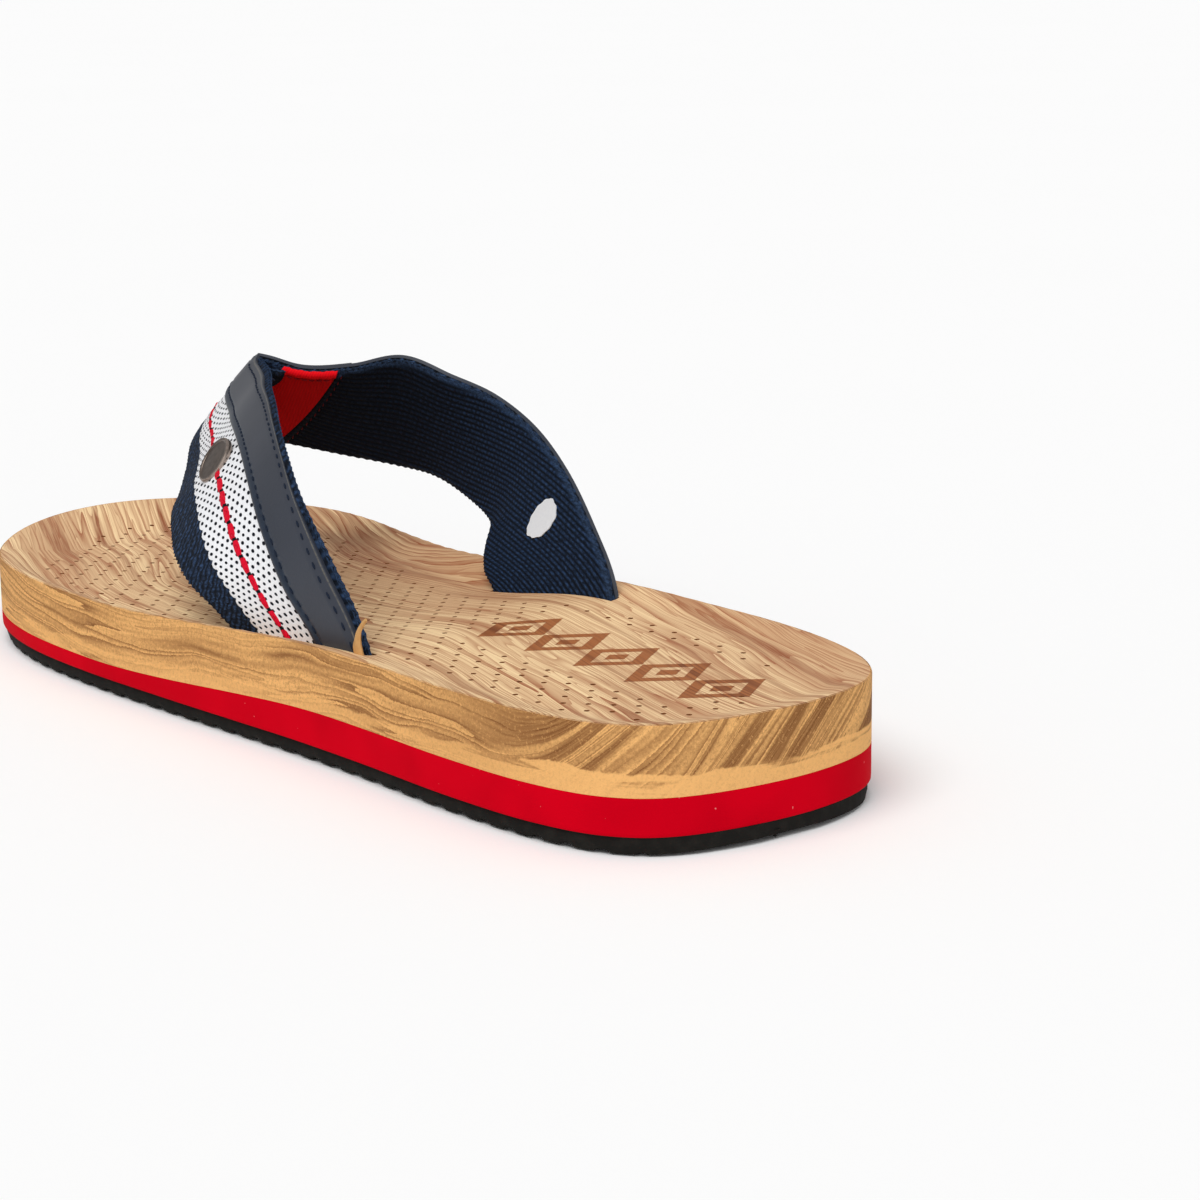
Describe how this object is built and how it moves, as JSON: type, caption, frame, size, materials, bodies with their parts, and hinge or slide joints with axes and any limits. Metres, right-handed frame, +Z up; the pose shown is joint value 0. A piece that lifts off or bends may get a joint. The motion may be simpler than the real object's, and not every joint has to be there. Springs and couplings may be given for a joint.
{
  "type": "thong sandal",
  "caption": "Left thong sandal: wood-look foam footbed, foam wedge midsole and ribbed rubber outsole, with a woven V strap, leather trim, folded toe post and a riveted disc.",
  "frame": {"origin": "on the ground under the middle of the foot's length, on the crest of the middle tread rib", "axes": "+Y to the toe, +X to the medial side (big toe), +Z up"},
  "size_m": [0.1036, 0.2896, 0.0712],
  "materials": {
    "black_rubber": "matte moulded rubber",
    "red_foam": "closed-cell foam, smooth cut edge",
    "wood_look_foam": "foam with a wood-grain face, matte",
    "navy_webbing": "woven webbing with a twill lining",
    "navy_leather": "smooth coated leather, satin",
    "red_tape": "ribbed woven tape",
    "gunmetal": "dark plated metal, satin",
    "rivet_brass": "bare stamped metal"
  },
  "bodies": {
    "root": {"outsole": "black_rubber", "midsole": "red_foam", "footbed": "wood_look_foam", "strap": "navy_webbing", "leather_trim": "navy_leather", "toe_post": "red_tape", "rivet_cap": "gunmetal", "rivet_back": "rivet_brass"}
  },
  "joints": []
}
